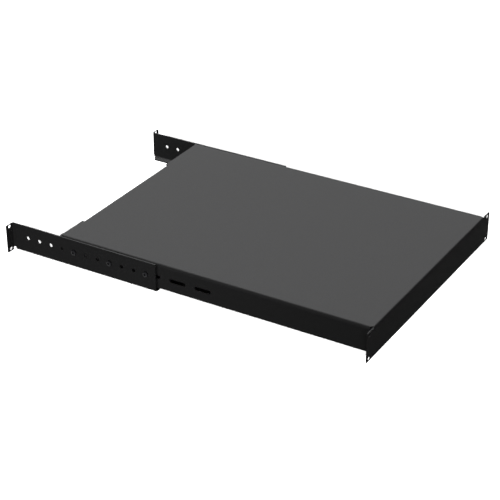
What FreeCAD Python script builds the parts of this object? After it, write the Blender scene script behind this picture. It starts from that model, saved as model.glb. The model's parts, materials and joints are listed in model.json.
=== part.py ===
import FreeCAD, Part
import math
import os

Vector = FreeCAD.Vector

# Millimetres, +Z up, +Y from the front of the rack to the back, +X to the right.
# Sizes are laid out from the middle of the front panel's face, at its bottom edge.
# The finished parts are then moved so that the origin is the middle of the front rack
# slots, in the plane where the front ears bear on the rack posts.
X_AXIS = Vector(1, 0, 0)
Y_AXIS = Vector(0, 1, 0)
Z_AXIS = Vector(0, 0, 1)
LEFT = -1
RIGHT = 1
HEXAGON_SIDES = 6

# Rack pattern shared by the front and the rear ears
ear_span = 482.6
ear_reach = 19.3
mount_rise = 44.45
mount_edge_margin = 4.275
mount_end_margin = 8.75
mount_slot_height = 6.6
mount_slot_length = 8.0
ear_corner_radius = 1.5

# Tray
tray_depth = 609.0
deck_set_back = 2.0
deck_corner_flare = 5.0
tray_gauge = 1.5
side_bend_inside = 4.0
end_bend_inside = 1.5
deck_above_ears = 1.0
side_flange_bottom = 8.5
lip_left_reach = 155.0
lip_right_reach = 108.0
lip_set_back = 3.0
lip_drop = 20.0

# Openings left where two folds of the tray meet
fold_relief = 2.0
corner_slit_width = 1.5
corner_notch_length = 6.0
corner_notch_drop = 8.0
corner_notch_radius = 2.0
flange_to_panel_gap = 0.5

# Rear brackets
bracket_gauge = 2.0
bracket_bend_inside = 2.0
bracket_flange_width = 14.0
bracket_front_margin = 20.0
bracket_rear_margin = 34.0
bracket_corner_relief = 1.5
bracket_flange_end_slope = 6.0

# Depth adjustment: the holes in the brackets and the slots in the tray
hole_pitch = 25.0
hole_count = 11
hole_diameter = 7.0
hole_row_above_middle = 3.0
slot_count = 6
slot_height = 6.6
rear_slot_inset = 43.5
slots_ahead_count = 2
screw_hole_step = 3
screws_per_side = 3

# Screws and flanged nuts
screw_diameter = 6.0
screw_length = 12.0
head_diameter = 10.5
head_height = 3.3
head_shoulder_diameter = 8.8
head_shoulder_height = 2.1
head_flat_diameter = 5.6
socket_across_flats = 4.0
socket_depth = 2.1
nut_across_flats = 10.0
nut_height = 6.0
nut_flange_diameter = 14.2
nut_flange_height = 1.2
nut_thread_clearance = 0.05

# Length by which folds run into the flat sheet that they are joined to
joint_overlap = 1.0

# Values that follow from the ones above
tray_half = ear_span / 2 - ear_reach
mount_half_span = ear_span / 2 - mount_end_margin
mount_middle_height = mount_edge_margin + mount_rise / 2
ear_height = mount_rise + 2 * mount_edge_margin
deck_height = ear_height + deck_above_ears
hole_row_height = mount_middle_height + hole_row_above_middle
side_bend_outside = tray_gauge + side_bend_inside
end_bend_outside = tray_gauge + end_bend_inside
flat_half = tray_half - side_bend_outside
deck_rear_y = tray_depth - deck_set_back
lip_face_y = deck_rear_y - lip_set_back
bracket_bend_outside = bracket_gauge + bracket_bend_inside
bracket_face = tray_half + bracket_gauge
slot_pitch = 2 * hole_pitch
slot_length = hole_pitch + slot_height
first_slot_y = tray_depth - rear_slot_inset - (slot_count - 1) * slot_pitch
front_hole_y = first_slot_y + slots_ahead_count * slot_pitch + hole_pitch / 2
bracket_front_y = front_hole_y - bracket_front_margin
bracket_rear_y = front_hole_y + (hole_count - 1) * hole_pitch + bracket_rear_margin
bracket_plate_end_y = bracket_rear_y - bracket_bend_outside - bracket_corner_relief
origin = Vector(0, tray_gauge, mount_middle_height)


def polygon_face(points):
    return Part.Face(Part.makePolygon(points + points[:1]))


def folded_angle(end_a, corner, end_b, gauge, bend_inside):
    """Section of a sheet folded once at a right angle, its outer faces meeting at the corner."""
    to_a = (end_a - corner).normalize()
    to_b = (end_b - corner).normalize()
    bend_outside = gauge + bend_inside
    centre = corner + (to_a + to_b) * bend_outside
    outward = (to_a + to_b).normalize() * -1
    outer_a = corner + to_a * bend_outside
    outer_b = corner + to_b * bend_outside
    inner_a = outer_a + to_b * gauge
    inner_b = outer_b + to_a * gauge
    edges = [
        Part.makeLine(end_a, outer_a),
        Part.Arc(outer_a, centre + outward * bend_outside, outer_b).toShape(),
        Part.makeLine(outer_b, end_b),
        Part.makeLine(end_b, end_b + to_a * gauge),
        Part.makeLine(end_b + to_a * gauge, inner_b),
        Part.Arc(inner_b, centre + outward * bend_inside, inner_a).toShape(),
        Part.makeLine(inner_a, end_a + to_b * gauge),
        Part.makeLine(end_a + to_b * gauge, end_a),
    ]
    return Part.Face(Part.Wire(edges))


def long_slot(middle, along, through, length, height, depth):
    """Solid with round ends for cutting a slot; it reaches half its depth either side of the middle."""
    across = through.cross(along)
    half_run = along * ((length - height) / 2)
    half_rise = across * (height / 2)
    start = middle - through * (depth / 2)
    tail = start - half_run
    head = start + half_run
    end_reach = along * (height / 2)
    edges = [
        Part.makeLine(tail + half_rise, head + half_rise),
        Part.Arc(head + half_rise, head + end_reach, head - half_rise).toShape(),
        Part.makeLine(head - half_rise, tail - half_rise),
        Part.Arc(tail - half_rise, tail - end_reach, tail + half_rise).toShape(),
    ]
    return Part.Face(Part.Wire(edges)).extrude(through * depth)


def round_outer_corners(solid, reach):
    """Rounds the edges that run front to back at the outer end of a rack ear."""
    corners = []
    for edge in solid.Edges:
        box = edge.BoundBox
        at_outer_end = abs(abs(box.Center.x) - reach) < 0.01
        runs_back = box.YLength > 0.5 and box.XLength < 0.01 and box.ZLength < 0.01
        if at_outer_end and runs_back:
            corners.append(edge)
    return solid.makeFillet(ear_corner_radius, corners)


def mount_slot_cutters(side, face_y, gauge):
    middle_x = side * mount_half_span
    cutters = []
    for rise in (-mount_rise / 2, mount_rise / 2):
        middle = Vector(middle_x, face_y + gauge / 2, mount_middle_height + rise)
        cutters.append(
            long_slot(middle, X_AXIS, Y_AXIS, mount_slot_length, mount_slot_height, 3 * gauge)
        )
    return cutters


def slot_middles_y():
    return [first_slot_y + step * slot_pitch for step in range(slot_count)]


def hole_ys():
    return [front_hole_y + step * hole_pitch for step in range(hole_count)]


def screw_ys():
    return [front_hole_y + step * screw_hole_step * hole_pitch for step in range(screws_per_side)]


def deck_corner(side, lip_reach):
    """Outline of one rear corner of the deck, from the front edge round to the end of the lip."""
    relief_x = side * (lip_reach + fold_relief)
    return [
        (side * flat_half, end_bend_outside),
        (side * flat_half, tray_depth),
        (side * (flat_half - deck_corner_flare), deck_rear_y),
        (relief_x, deck_rear_y),
        (relief_x, lip_face_y - end_bend_outside),
    ]


def deck_sheet():
    """Flat part of the deck, its rear corners running on to the ends of the side folds."""
    left_corner = deck_corner(LEFT, lip_left_reach)
    outline = deck_corner(RIGHT, lip_right_reach) + left_corner[::-1]
    underside = deck_height - tray_gauge
    points = [Vector(x, y, underside) for x, y in outline]
    return polygon_face(points).extrude(Z_AXIS * tray_gauge)


def corner_notch(side):
    """Relief cut through the front end of the side fold, its lower back corner rounded."""
    bottom = deck_height - corner_notch_drop
    width = 2 * side_bend_outside
    corner = Vector(side * tray_half - width / 2, 0, bottom)
    notch = Part.makeBox(width, corner_notch_length, 2 * corner_notch_drop, corner)
    inner_edges = []
    for edge in notch.Edges:
        box = edge.BoundBox
        at_lower_back = box.YMin > corner_notch_length / 2 and box.ZMax < bottom + corner_notch_drop / 2
        if at_lower_back and box.XLength > width / 2:
            inner_edges.append(edge)
    return notch.makeFillet(corner_notch_radius, inner_edges)


def side_fold(side):
    """Side of the tray: the fold along the deck and the flange hanging from it."""
    start_y = tray_gauge + flange_to_panel_gap
    section = folded_angle(
        Vector(side * (flat_half - joint_overlap), start_y, deck_height),
        Vector(side * tray_half, start_y, deck_height),
        Vector(side * tray_half, start_y, side_flange_bottom),
        tray_gauge,
        side_bend_inside,
    )
    flange = section.extrude(Y_AXIS * (tray_depth - start_y))
    slots = []
    for middle_y in slot_middles_y():
        middle = Vector(side * tray_half, middle_y, hole_row_height)
        slots.append(long_slot(middle, Y_AXIS, X_AXIS, slot_length, slot_height, 4 * tray_gauge))
    return flange.cut([corner_notch(side)] + slots)


def front_fold():
    """Fold along the front of the deck, with the middle of the front panel hanging from it."""
    section = folded_angle(
        Vector(-flat_half, end_bend_outside + joint_overlap, deck_height),
        Vector(-flat_half, 0, deck_height),
        Vector(-flat_half, 0, 0),
        tray_gauge,
        end_bend_inside,
    )
    return section.extrude(X_AXIS * (2 * flat_half))


def front_ear(side):
    """Flat end of the front panel, carrying one pair of rack slots."""
    joined_x = flat_half - joint_overlap
    ear_inner_x = flat_half + corner_slit_width
    slit_bottom = deck_height - side_bend_outside - fold_relief
    outline = [
        (joined_x, 0),
        (ear_span / 2, 0),
        (ear_span / 2, deck_height),
        (ear_inner_x, deck_height),
        (ear_inner_x, slit_bottom),
        (joined_x, slit_bottom),
    ]
    points = [Vector(side * x, 0, z) for x, z in outline]
    ear = polygon_face(points).extrude(Y_AXIS * tray_gauge)
    ear = round_outer_corners(ear, ear_span / 2)
    return ear.cut(mount_slot_cutters(side, 0, tray_gauge))


def rear_lip():
    """Lip folded down along the rear of the deck, between the two open corners."""
    section = folded_angle(
        Vector(-lip_left_reach, lip_face_y - end_bend_outside - joint_overlap, deck_height),
        Vector(-lip_left_reach, lip_face_y, deck_height),
        Vector(-lip_left_reach, lip_face_y, deck_height - lip_drop),
        tray_gauge,
        end_bend_inside,
    )
    return section.extrude(X_AXIS * (lip_left_reach + lip_right_reach))


def tray():
    sheet = deck_sheet()
    pieces = [front_fold(), rear_lip()]
    for side in (LEFT, RIGHT):
        pieces.append(side_fold(side))
        pieces.append(front_ear(side))
    return sheet.fuse(pieces).removeSplitter()


def bracket_plate(side):
    """Vertical plate and the flange turned inward along its bottom edge."""
    face_x = side * bracket_face
    section = folded_angle(
        Vector(face_x, bracket_front_y, ear_height),
        Vector(face_x, bracket_front_y, 0),
        Vector(face_x - side * bracket_flange_width, bracket_front_y, 0),
        bracket_gauge,
        bracket_bend_inside,
    )
    plate = section.extrude(Y_AXIS * (bracket_plate_end_y - bracket_front_y))
    return plate.cut(flange_end_slope(side))


def flange_end_slope(side):
    """Wedge that slopes off the rear end of the bracket's bottom flange."""
    fold_x = bracket_face - bracket_bend_outside
    edge_x = bracket_face - bracket_flange_width
    outline = [
        (fold_x, bracket_plate_end_y),
        (edge_x, bracket_plate_end_y),
        (edge_x, bracket_plate_end_y - bracket_flange_end_slope),
    ]
    points = [Vector(side * x, y, 0) for x, y in outline]
    return polygon_face(points).extrude(Z_AXIS * bracket_gauge)


def rear_ear(side):
    """Fold at the rear end of the plate and the rack ear turned outward from it."""
    inner_x = side * tray_half
    outer_x = side * ear_span / 2
    fold_bottom = bracket_bend_outside + bracket_corner_relief
    section = folded_angle(
        Vector(inner_x, bracket_plate_end_y - joint_overlap, fold_bottom),
        Vector(inner_x, bracket_rear_y, fold_bottom),
        Vector(outer_x, bracket_rear_y, fold_bottom),
        bracket_gauge,
        bracket_bend_inside,
    )
    fold = section.extrude(Z_AXIS * (ear_height - fold_bottom))
    flat_start_x = side * (bracket_face + bracket_bend_inside)
    front_y = bracket_rear_y - bracket_gauge
    outline = [(flat_start_x, 0), (outer_x, 0), (outer_x, ear_height), (flat_start_x, ear_height)]
    points = [Vector(x, front_y, z) for x, z in outline]
    ear = fold.fuse(polygon_face(points).extrude(Y_AXIS * bracket_gauge)).removeSplitter()
    ear = round_outer_corners(ear, ear_span / 2)
    return ear.cut(mount_slot_cutters(side, front_y, bracket_gauge))


def rear_bracket(side):
    holes = []
    for hole_y in hole_ys():
        start = Vector(side * (tray_half - bracket_gauge), hole_y, hole_row_height)
        holes.append(
            Part.makeCylinder(hole_diameter / 2, 3 * bracket_gauge, start, X_AXIS * side)
        )
    return bracket_plate(side).cut(holes).fuse(rear_ear(side)).removeSplitter()


def hexagon_prism(across_flats, height, centre, axis):
    """Prism with six flats, its corners up and down, standing on the centre point."""
    corner_radius = across_flats / 2 / math.cos(math.pi / HEXAGON_SIDES)
    side_axis = axis.cross(Z_AXIS)
    points = []
    for step in range(HEXAGON_SIDES):
        angle = 2 * math.pi * step / HEXAGON_SIDES
        spoke = Z_AXIS * math.cos(angle) + side_axis * math.sin(angle)
        points.append(centre + spoke * corner_radius)
    return polygon_face(points).extrude(axis * height)


def screw_head():
    """Button head standing on the XY plane, flat on top."""
    points = [
        Vector(0, 0, 0),
        Vector(head_diameter / 2, 0, 0),
        Vector(head_shoulder_diameter / 2, 0, head_shoulder_height),
        Vector(head_flat_diameter / 2, 0, head_height),
        Vector(0, 0, head_height),
    ]
    return polygon_face(points).revolve(Vector(0, 0, 0), Z_AXIS, 360)


def button_screw(side, screw_y):
    """Button head screw with a hexagon socket, its head on the bracket and its tip inside the tray."""
    outward = X_AXIS * side
    seat = Vector(side * bracket_face, screw_y, hole_row_height)
    shank = Part.makeCylinder(screw_diameter / 2, screw_length, Vector(0, 0, -screw_length))
    screw = shank.fuse(screw_head())
    screw.Placement = FreeCAD.Placement(seat, FreeCAD.Rotation(Z_AXIS, outward))
    socket_floor = seat + outward * (head_height - socket_depth)
    socket = hexagon_prism(socket_across_flats, 2 * socket_depth, socket_floor, outward)
    return screw.cut(socket).removeSplitter()


def flange_nut(side, screw_y):
    inward = X_AXIS * -side
    seat = Vector(side * (tray_half - tray_gauge), screw_y, hole_row_height)
    hexagon = hexagon_prism(nut_across_flats, nut_height, seat, inward)
    flange = Part.makeCylinder(nut_flange_diameter / 2, nut_flange_height, seat, inward)
    bore_radius = screw_diameter / 2 + nut_thread_clearance
    bore = Part.makeCylinder(bore_radius, 3 * nut_height, seat - inward * nut_height, inward)
    return hexagon.fuse(flange).cut(bore).removeSplitter()


def group(solids):
    return Part.makeCompound(solids)


def write(name, shape):
    shape.translate(origin * -1)
    shape.exportStep(os.path.join("parts", name + ".step"))


def main():
    os.makedirs("parts", exist_ok=True)
    write("tray", tray())
    for side, label in ((LEFT, "left"), (RIGHT, "right")):
        write(label + "_rear_bracket", rear_bracket(side))
        write(label + "_bracket_screws", group([button_screw(side, y) for y in screw_ys()]))
        write(label + "_bracket_nuts", group([flange_nut(side, y) for y in screw_ys()]))


main()
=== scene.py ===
import json
import math

import bmesh
import bpy
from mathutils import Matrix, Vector

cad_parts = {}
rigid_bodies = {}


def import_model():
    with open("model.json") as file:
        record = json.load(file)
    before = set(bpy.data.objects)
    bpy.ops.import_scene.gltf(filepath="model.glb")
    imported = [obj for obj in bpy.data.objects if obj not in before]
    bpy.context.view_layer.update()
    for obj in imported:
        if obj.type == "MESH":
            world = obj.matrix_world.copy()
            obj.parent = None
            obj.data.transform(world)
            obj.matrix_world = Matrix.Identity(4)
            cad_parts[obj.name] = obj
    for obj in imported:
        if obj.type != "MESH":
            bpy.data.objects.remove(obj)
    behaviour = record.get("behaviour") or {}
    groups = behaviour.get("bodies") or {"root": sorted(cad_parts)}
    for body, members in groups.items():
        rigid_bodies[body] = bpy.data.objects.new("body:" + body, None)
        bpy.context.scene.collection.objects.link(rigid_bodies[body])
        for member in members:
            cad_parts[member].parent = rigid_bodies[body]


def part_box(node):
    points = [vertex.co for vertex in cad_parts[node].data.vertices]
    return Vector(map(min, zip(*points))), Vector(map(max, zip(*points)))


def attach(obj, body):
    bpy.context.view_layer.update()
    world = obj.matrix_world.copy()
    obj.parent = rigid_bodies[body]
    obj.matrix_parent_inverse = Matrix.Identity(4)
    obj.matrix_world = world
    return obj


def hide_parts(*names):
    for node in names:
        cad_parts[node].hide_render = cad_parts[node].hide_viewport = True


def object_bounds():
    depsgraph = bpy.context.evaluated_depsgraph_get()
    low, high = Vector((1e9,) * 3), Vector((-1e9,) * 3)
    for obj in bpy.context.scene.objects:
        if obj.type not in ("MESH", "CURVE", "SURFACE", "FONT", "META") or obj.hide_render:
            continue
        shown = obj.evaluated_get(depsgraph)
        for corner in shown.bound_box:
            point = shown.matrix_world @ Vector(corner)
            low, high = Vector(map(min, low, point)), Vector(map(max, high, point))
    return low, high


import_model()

# An adjustable four-post rack shelf: a folded tray with a bracket bolted to each side.
# Lengths are in metres, angles in degrees and lamp powers in watts.

CAD_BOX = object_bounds()

# Floor and world: how bright each is where it is seen, and how much light it gives the object
FLOOR_SIZE = 24.0
FLOOR_SEEN = 0.86
FLOOR_BOUNCE = 0.02
WORLD_SEEN = 1.0
AMBIENT = 0.006

# Far lamps, aimed at the shelf's middle from a bearing (+Y towards +X) and an elevation
LAMP_DISTANCE = 30.0
LAMP_SIZE = 10.0
FLOOR_LAMP_SIZE = 4.0
FLOOR_TOP_POWER = 11000.0
FLOOR_LOW_BEARING = 247.0
FLOOR_LOW_ELEVATION = 20.0
FLOOR_LOW_POWER = 32500.0
TOP_POWER = 1100.0
KEY_BEARING = 50.0
KEY_ELEVATION = 24.0
KEY_POWER = 17000.0
CORNER_BEARING = 236.0
CORNER_ELEVATION = 14.0
CORNER_POWER = 340.0
FAR_BRACKET_BEARING = 270.0
FAR_BRACKET_ELEVATION = 82.0
FAR_BRACKET_POWER = 5200.0

# Close lamps; the aims are places along the shelf's near side
FILL_SIZE = 0.8
SIDE_PLACE = (-0.84, 1.46, 0.17)
SIDE_AIM = 0.35
SIDE_SIZE = 0.25
SIDE_SPREAD = 40.0
SIDE_POWER = 0.13
BRACKET_PLACE = (-1.25, 0.42, 0.4)
BRACKET_AIM = 0.6
BRACKET_POWER = 1.22
FRONT_PLACE = (0.6, -1.0, 0.3)
FRONT_POWER = 0.15

# Camera: yaw from +Y towards +X, pitch below the level, and the lens in millimetres
CAMERA_PLACE = (-2.1053, -0.8933, 1.3004)
CAMERA_YAW = 59.361
CAMERA_PITCH = 28.633
CAMERA_LENS = 111.95
CAMERA_REACH = 60.0

# The part of a noise's range that most of its values fill
NOISE_LOW = 0.3
NOISE_HIGH = 0.7

# Powder coat: a fine grain over a coarser orange peel
COAT_BLACK = (0.092, 0.092, 0.093, 1.0)
COAT_TINT = 0.08
COAT_ROUGHNESS = 0.70
COAT_ROUGHNESS_SWING = 0.05
COAT_SPECULAR = 0.004
COAT_GRAIN_PER_METRE = 900.0
COAT_GRAIN_DETAIL = 3.0
COAT_GRAIN_HEIGHT = 0.0002
COAT_GRAIN_STRENGTH = 0.6
COAT_PEEL_PER_METRE = 160.0
COAT_PEEL_DETAIL = 2.0
COAT_PEEL_HEIGHT = 0.0001
COAT_PEEL_STRENGTH = 0.5

# Plated steel: a fine grain over a cloudy tint
SCREW_BLACK = (0.011, 0.011, 0.012, 1.0)
SCREW_ROUGHNESS = 0.35
NUT_GREY = (0.10, 0.10, 0.105, 1.0)
NUT_ROUGHNESS = 0.38
PLATE_TINT = 0.1
PLATE_SMOOTHER = 0.06
PLATE_ROUGHER = 0.08
PLATE_DETAIL = 3.0
PLATE_CLOUD_PER_METRE = 260.0
PLATE_GRAIN_PER_METRE = 2500.0
PLATE_GRAIN_HEIGHT = 0.000003
PLATE_GRAIN_STRENGTH = 0.5

# Screws and nuts; the ring's points are a multiple of six, so that they meet a hexagon's corners
SCREWS_PER_SIDE = 3
RING_POINTS = 48
SHARP_ANGLE = 25.0
HEAD_HEIGHT = 0.0033
HEAD_RIM = 0.0004
HEAD_FLAT_RADIUS = 0.0028
HEAD_ARC_STEPS = 8
SOCKET_ACROSS_FLATS = 0.004
SOCKET_CHAMFER = 0.0002
SOCKET_DEPTH = 0.0021
SOCKET_POINT = 0.0006
TIP_CHAMFER = 0.0006
NUT_BORE_RADIUS = 0.00303
NUT_BORE_CHAMFER = 0.0004
NUT_ACROSS_FLATS = 0.010
NUT_TOP_RADIUS = 0.0051
NUT_CORNER_CHAMFER = 0.0004
NUT_FLANGE_RADIUS = 0.0071
NUT_FLANGE = 0.0012
NUT_FLANGE_RIM = 0.0005

# Thread; the last three are shares of its pitch
THREAD_RADIUS = 0.0030
THREAD_ROOT_RADIUS = 0.00245
THREAD_PITCH = 0.0010
THREAD_START = 0.0008
THREAD_FOOT_HALF = 0.4
THREAD_CREST_HALF = 0.1
THREAD_SUNK = 0.1


def link(tree, source, target):
    tree.links.new(source, target)


def new_material(name):
    material = bpy.data.materials.new(name)
    material.use_nodes = True
    tree = material.node_tree
    shader = tree.nodes["Principled BSDF"]
    return material, tree, shader


def noise(tree, scale, detail):
    coordinates = tree.nodes.new("ShaderNodeTexCoord")
    texture = tree.nodes.new("ShaderNodeTexNoise")
    texture.inputs["Scale"].default_value = scale
    texture.inputs["Detail"].default_value = detail
    link(tree, coordinates.outputs["Object"], texture.inputs["Vector"])
    return texture.outputs["Fac"]


def spread(tree, value, low, high):
    """Maps a noise onto a range."""
    node = tree.nodes.new("ShaderNodeMapRange")
    node.inputs["From Min"].default_value = NOISE_LOW
    node.inputs["From Max"].default_value = NOISE_HIGH
    node.inputs["To Min"].default_value = low
    node.inputs["To Max"].default_value = high
    link(tree, value, node.inputs["Value"])
    return node.outputs["Result"]


def tinted(tree, base, value, swing):
    """Base colour made a little darker and lighter by a noise."""
    ramp = tree.nodes.new("ShaderNodeValToRGB")
    dark, light = ramp.color_ramp.elements
    dark.position = NOISE_LOW
    light.position = NOISE_HIGH
    dark.color = [part * (1.0 - swing) for part in base[:3]] + [1.0]
    light.color = [part * (1.0 + swing) for part in base[:3]] + [1.0]
    link(tree, value, ramp.inputs["Fac"])
    return ramp.outputs["Color"]


def bump(tree, height, distance, strength, normal=None):
    node = tree.nodes.new("ShaderNodeBump")
    node.inputs["Strength"].default_value = strength
    node.inputs["Distance"].default_value = distance
    link(tree, height, node.inputs["Height"])
    if normal is not None:
        link(tree, normal, node.inputs["Normal"])
    return node.outputs["Normal"]


def powder_coat(name):
    material, tree, shader = new_material(name)
    grain = noise(tree, COAT_GRAIN_PER_METRE, COAT_GRAIN_DETAIL)
    peel = noise(tree, COAT_PEEL_PER_METRE, COAT_PEEL_DETAIL)
    smoothest = COAT_ROUGHNESS - COAT_ROUGHNESS_SWING
    roughest = COAT_ROUGHNESS + COAT_ROUGHNESS_SWING
    soft = bump(tree, peel, COAT_PEEL_HEIGHT, COAT_PEEL_STRENGTH)
    grained = bump(tree, grain, COAT_GRAIN_HEIGHT, COAT_GRAIN_STRENGTH, soft)
    shader.inputs["Specular IOR Level"].default_value = COAT_SPECULAR
    link(tree, tinted(tree, COAT_BLACK, grain, COAT_TINT), shader.inputs["Base Color"])
    link(tree, spread(tree, grain, smoothest, roughest), shader.inputs["Roughness"])
    link(tree, grained, shader.inputs["Normal"])
    return material


def plated_steel(name, base, roughness):
    material, tree, shader = new_material(name)
    grain = noise(tree, PLATE_GRAIN_PER_METRE, PLATE_DETAIL)
    cloud = noise(tree, PLATE_CLOUD_PER_METRE, PLATE_DETAIL)
    smoothest = roughness - PLATE_SMOOTHER
    roughest = roughness + PLATE_ROUGHER
    grained = bump(tree, grain, PLATE_GRAIN_HEIGHT, PLATE_GRAIN_STRENGTH)
    shader.inputs["Metallic"].default_value = 1.0
    link(tree, tinted(tree, base, cloud, PLATE_TINT), shader.inputs["Base Color"])
    link(tree, spread(tree, cloud, smoothest, roughest), shader.inputs["Roughness"])
    link(tree, grained, shader.inputs["Normal"])
    return material


def dress(node_name, material):
    """Puts a material in every slot of a CAD node."""
    for slot in bpy.data.objects[node_name].material_slots:
        slot.material = material


def dress_frame():
    """Finishes for all the CAD nodes, and the detailed screws and nuts of both sides."""
    dress("tray", powder_coat("tray_coat"))
    black_steel = plated_steel("screw_steel", SCREW_BLACK, SCREW_ROUGHNESS)
    grey_steel = plated_steel("nut_steel", NUT_GREY, NUT_ROUGHNESS)
    for side, outward in (("left", -1.0), ("right", 1.0)):
        dress(side + "_rear_bracket", powder_coat(side + "_bracket_coat"))
        dress(side + "_bracket_screws", black_steel)
        dress(side + "_bracket_nuts", grey_steel)
        add_screws(side, outward, black_steel)
        add_nuts(side, outward, grey_steel)


def hexagon_radius(across_flats, angle):
    """Distance from a hexagon's middle to its outline, with a corner at angle 0."""
    sixth = math.pi / 3
    return across_flats / 2 / math.cos(angle % sixth - sixth / 2)


def ring(offset, radius, across_flats=None):
    """Points round the axis at an offset along it, cut back to a hexagon where one is given."""
    points = []
    for step in range(RING_POINTS):
        angle = 2 * math.pi * step / RING_POINTS
        reach = radius
        if across_flats:
            reach = min(radius, hexagon_radius(across_flats, angle))
        points.append(Vector((offset, reach * math.cos(angle), reach * math.sin(angle))))
    return points


def skin(shape, rows, closed=False, ends=False):
    """Faces between neighbouring rings, and over the first and last where ends are wanted."""
    rings = [[shape.verts.new(point) for point in row] for row in rows]
    pairs = list(zip(rings, rings[1:]))
    if closed:
        pairs.append((rings[-1], rings[0]))
    for low, high in pairs:
        for step in range(len(low)):
            after = (step + 1) % len(low)
            shape.faces.new((low[step], low[after], high[after], high[step]))
    if ends:
        shape.faces.new(rings[0])
        shape.faces.new(rings[-1])


def screw_rows(length, head_radius):
    """Rings from the tip along the shank, over the rounded head and down into its socket."""
    rows = [
        ring(-length, THREAD_ROOT_RADIUS - TIP_CHAMFER),
        ring(-length + TIP_CHAMFER, THREAD_ROOT_RADIUS),
        ring(0.0, THREAD_ROOT_RADIUS),
        ring(0.0, head_radius),
    ]
    for step in range(HEAD_ARC_STEPS + 1):
        turn = math.pi / 2 * step / HEAD_ARC_STEPS
        radius = HEAD_FLAT_RADIUS + (head_radius - HEAD_FLAT_RADIUS) * math.cos(turn)
        rows.append(ring(HEAD_RIM + (HEAD_HEIGHT - HEAD_RIM) * math.sin(turn), radius))
    socket_floor = HEAD_HEIGHT - SOCKET_DEPTH
    rows.append(ring(HEAD_HEIGHT, SOCKET_ACROSS_FLATS / 2 + 2 * SOCKET_CHAMFER))
    rows.append(ring(HEAD_HEIGHT - SOCKET_CHAMFER, head_radius, SOCKET_ACROSS_FLATS))
    rows.append(ring(socket_floor, head_radius, SOCKET_ACROSS_FLATS))
    rows.append(ring(socket_floor - SOCKET_POINT, SOCKET_POINT / 2))
    return rows


def add_thread(shape, length):
    """One helical ridge with a flat crest, its foot sunk in the shank."""
    foot = THREAD_ROOT_RADIUS - THREAD_SUNK * THREAD_PITCH
    section = [
        (-THREAD_FOOT_HALF, foot),
        (-THREAD_CREST_HALF, THREAD_RADIUS),
        (THREAD_CREST_HALF, THREAD_RADIUS),
        (THREAD_FOOT_HALF, foot),
    ]
    travel = length - THREAD_START - TIP_CHAMFER
    steps = int(travel / THREAD_PITCH * RING_POINTS)
    rows = []
    for step in range(steps):
        angle = 2 * math.pi * step / RING_POINTS
        offset = THREAD_PITCH * step / RING_POINTS - length + TIP_CHAMFER
        row = []
        for along, radius in section:
            across = (radius * math.cos(angle), radius * math.sin(angle))
            row.append(Vector((offset + along * THREAD_PITCH, *across)))
        rows.append(row)
    skin(shape, rows, ends=True)


def nut_rows(height):
    """Rings round a flanged nut: out over the flange, along the hexagon and back down the bore."""
    flange_top_radius = hexagon_radius(NUT_ACROSS_FLATS, 0.0) + NUT_FLANGE_RIM
    return [
        ring(NUT_BORE_CHAMFER, NUT_BORE_RADIUS),
        ring(0.0, NUT_BORE_RADIUS + NUT_BORE_CHAMFER),
        ring(0.0, NUT_FLANGE_RADIUS),
        ring(NUT_FLANGE_RIM, NUT_FLANGE_RADIUS),
        ring(NUT_FLANGE, flange_top_radius),
        ring(NUT_FLANGE, NUT_FLANGE_RADIUS, NUT_ACROSS_FLATS),
        ring(height - NUT_CORNER_CHAMFER, NUT_FLANGE_RADIUS, NUT_ACROSS_FLATS),
        ring(height, NUT_TOP_RADIUS, NUT_ACROSS_FLATS),
        ring(height, NUT_BORE_RADIUS + NUT_BORE_CHAMFER),
        ring(height - NUT_BORE_CHAMFER, NUT_BORE_RADIUS),
    ]


def place_copies(shape, node, seat, outward):
    """Copies of a shape built along +X, one for each fastener in the CAD node's row."""
    low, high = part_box(node)
    radius = (high.z - low.z) / 2
    pitch = (high.y - low.y - 2 * radius) / (SCREWS_PER_SIDE - 1)
    whole = bmesh.new()
    for number in range(SCREWS_PER_SIDE):
        place = Vector((seat, low.y + radius + number * pitch, low.z + radius))
        copies = {}
        for vertex in shape.verts:
            x, y, z = vertex.co
            copies[vertex] = whole.verts.new(place + Vector((x * outward, y, z)))
        for face in shape.faces:
            whole.faces.new([copies[vertex] for vertex in face.verts])
    bmesh.ops.recalc_face_normals(whole, faces=whole.faces)
    return whole


def add_fasteners(shape, node, seat, outward, material):
    """Puts the detailed screws or nuts in the place of the plain ones of the CAD."""
    whole = place_copies(shape, node, seat, outward)
    mesh = bpy.data.meshes.new(node + "_detailed")
    whole.to_mesh(mesh)
    whole.free()
    shape.free()
    mesh.shade_smooth()
    mesh.set_sharp_from_angle(angle=math.radians(SHARP_ANGLE))
    mesh.materials.append(material)
    piece = bpy.data.objects.new(node + "_detailed", mesh)
    bpy.context.scene.collection.objects.link(piece)
    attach(piece, "root")
    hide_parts(node)
    return piece


def add_screws(side, outward, material):
    """The heads sit against the bracket, and the tips point into the tray."""
    node = side + "_bracket_screws"
    low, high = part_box(node)
    seat = outward * (max(abs(low.x), abs(high.x)) - HEAD_HEIGHT)
    length = high.x - low.x - HEAD_HEIGHT
    shape = bmesh.new()
    skin(shape, screw_rows(length, (high.z - low.z) / 2), ends=True)
    add_thread(shape, length)
    piece = add_fasteners(shape, node, seat, outward, material)


def add_nuts(side, outward, material):
    """The nuts' flanges sit against the tray, so these are built inwards from it."""
    node = side + "_bracket_nuts"
    low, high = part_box(node)
    seat = outward * max(abs(low.x), abs(high.x))
    shape = bmesh.new()
    skin(shape, nut_rows(high.x - low.x), closed=True)
    piece = add_fasteners(shape, node, seat, -outward, material)


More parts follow.
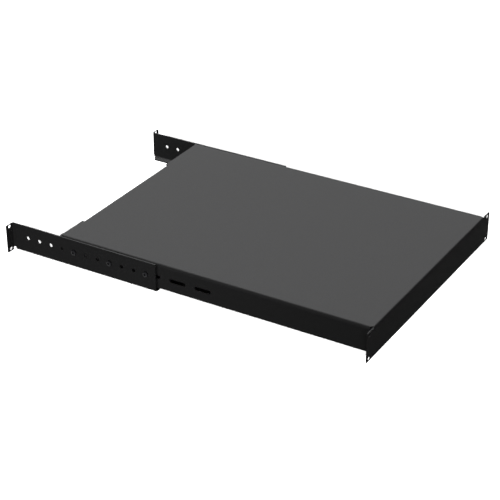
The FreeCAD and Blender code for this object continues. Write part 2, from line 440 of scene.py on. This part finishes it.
def value_by_ray(tree, lighting, seen):
    """One value for the rays that light surfaces, another for camera, glossy and transmission rays."""
    path = tree.nodes.new("ShaderNodeLightPath")
    direct = path.outputs["Is Camera Ray"]
    for kind in ("Is Glossy Ray", "Is Transmission Ray"):
        either = tree.nodes.new("ShaderNodeMath")
        either.operation = "MAXIMUM"
        link(tree, direct, either.inputs[0])
        link(tree, path.outputs[kind], either.inputs[1])
        direct = either.outputs[0]
    choice = tree.nodes.new("ShaderNodeMapRange")
    choice.inputs["To Min"].default_value = lighting
    choice.inputs["To Max"].default_value = seen
    link(tree, direct, choice.inputs["Value"])
    return choice.outputs["Result"]


def make_world():
    """White where it is seen, and a faint light on the object."""
    world = bpy.data.worlds.new("studio")
    bpy.context.scene.world = world
    world.use_nodes = True
    tree = world.node_tree
    background = tree.nodes["Background"]
    background.inputs["Color"].default_value = (1.0, 1.0, 1.0, 1.0)
    strength = value_by_ray(tree, AMBIENT, WORLD_SEEN)
    link(tree, strength, background.inputs["Strength"])


def floor_material():
    """Pale where it is seen, and dark to the rays that carry its light back to the object."""
    material, tree, shader = new_material("studio_floor")
    tree.nodes.remove(shader)
    diffuse = tree.nodes.new("ShaderNodeBsdfDiffuse")
    tone = value_by_ray(tree, FLOOR_BOUNCE, FLOOR_SEEN)
    link(tree, tone, diffuse.inputs["Color"])
    link(tree, diffuse.outputs["BSDF"], tree.nodes["Material Output"].inputs["Surface"])
    return material


def make_floor():
    """A square at the level that the shelf stands on."""
    half = FLOOR_SIZE / 2
    level = CAD_BOX[0][2]
    corners = [(x * half, y * half, level) for x, y in ((-1, -1), (1, -1), (1, 1), (-1, 1))]
    mesh = bpy.data.meshes.new("floor")
    mesh.from_pydata(corners, [], [(0, 1, 2, 3)])
    mesh.materials.append(floor_material())
    floor = bpy.data.objects.new("floor", mesh)
    bpy.context.scene.collection.objects.link(floor)
    return floor


def area_light(name, place, target, size, power):
    lamp = bpy.data.lights.new(name, "AREA")
    lamp.size = size
    lamp.energy = power
    light = bpy.data.objects.new(name, lamp)
    bpy.context.scene.collection.objects.link(light)
    light.location = place
    aim = Vector(target) - Vector(place)
    light.rotation_euler = aim.to_track_quat("-Z", "Y").to_euler()
    light.visible_camera = False
    return light


def share_out(light, surfaces, state):
    """Has a lamp light these objects alone (INCLUDE) or all but these (EXCLUDE)."""
    receivers = bpy.data.collections.new(light.name + "_receivers")
    for surface in surfaces:
        receivers.objects.link(surface)
    for member in receivers.collection_objects:
        member.light_linking.link_state = state
    light.light_linking.receiver_collection = receivers


def on_dome(target, bearing, elevation):
    """Place of a far lamp, at a bearing and an elevation as seen from the target."""
    across = math.cos(math.radians(elevation)) * LAMP_DISTANCE
    x = across * math.sin(math.radians(bearing))
    y = across * math.cos(math.radians(bearing))
    z = math.sin(math.radians(elevation)) * LAMP_DISTANCE
    return (target[0] + x, target[1] + y, target[2] + z)


def add_floor_lights(floor, middle, above):
    """Two lamps, so that neither one's shadow shows where the other reaches."""
    in_front = on_dome(middle, FLOOR_LOW_BEARING, FLOOR_LOW_ELEVATION)
    lights = [
        area_light("floor_top", above, middle, FLOOR_LAMP_SIZE, FLOOR_TOP_POWER),
        area_light("floor_low", in_front, middle, FLOOR_LAMP_SIZE, FLOOR_LOW_POWER),
    ]
    for light in lights:
        share_out(light, [floor], "INCLUDE")


def add_studio_lights(floor, middle, above):
    """A soft lamp above, a low key behind on the right, and fills for the near corner and the front."""
    behind = on_dome(middle, KEY_BEARING, KEY_ELEVATION)
    near_corner = on_dome(middle, CORNER_BEARING, CORNER_ELEVATION)
    panel = (FRONT_PLACE[0], CAD_BOX[0][1], 0.0)
    lights = [
        area_light("top", above, middle, LAMP_SIZE, TOP_POWER),
        area_light("key", behind, middle, LAMP_SIZE, KEY_POWER),
        area_light("corner_fill", near_corner, middle, LAMP_SIZE, CORNER_POWER),
        area_light("front_fill", FRONT_PLACE, panel, FILL_SIZE, FRONT_POWER),
    ]
    for light in lights:
        share_out(light, [floor], "EXCLUDE")


def add_side_light():
    """Grazes the tray's near side from behind, so that the bracket's front end throws a dark line."""
    tray_side = (CAD_BOX[0][0], SIDE_AIM, 0.0)
    light = area_light("side_fill", SIDE_PLACE, tray_side, SIDE_SIZE, SIDE_POWER)
    light.data.spread = math.radians(SIDE_SPREAD)
    share_out(light, [bpy.data.objects["tray"]], "INCLUDE")


def add_bracket_lights(middle):
    """One lamp for the near bracket and its screws, and one high over the far bracket."""
    objects = bpy.data.objects
    plate = (CAD_BOX[0][0], BRACKET_AIM, 0.0)
    near_light = area_light("near_bracket_fill", BRACKET_PLACE, plate, FILL_SIZE, BRACKET_POWER)
    near_pieces = [objects["left_rear_bracket"], objects["left_bracket_screws_detailed"]]
    share_out(near_light, near_pieces, "INCLUDE")
    overhead = on_dome(middle, FAR_BRACKET_BEARING, FAR_BRACKET_ELEVATION)
    far_light = area_light("far_bracket_fill", overhead, middle, LAMP_SIZE, FAR_BRACKET_POWER)
    share_out(far_light, [objects["right_rear_bracket"]], "INCLUDE")


def make_lights(floor):
    middle = [(low + high) / 2 for low, high in zip(*CAD_BOX)]
    above = on_dome(middle, 0.0, 90.0)
    add_floor_lights(floor, middle, above)
    add_studio_lights(floor, middle, above)
    add_side_light()
    add_bracket_lights(middle)


def make_camera():
    data = bpy.data.cameras.new("camera")
    data.lens = CAMERA_LENS
    data.clip_end = CAMERA_REACH
    camera = bpy.data.objects.new("camera", data)
    bpy.context.scene.collection.objects.link(camera)
    camera.location = CAMERA_PLACE
    camera.rotation_euler = (math.radians(90.0 - CAMERA_PITCH), 0.0, math.radians(-CAMERA_YAW))
    bpy.context.scene.camera = camera


dress_frame()
make_world()
make_lights(make_floor())
make_camera()
bpy.context.scene.view_settings.view_transform = "Standard"
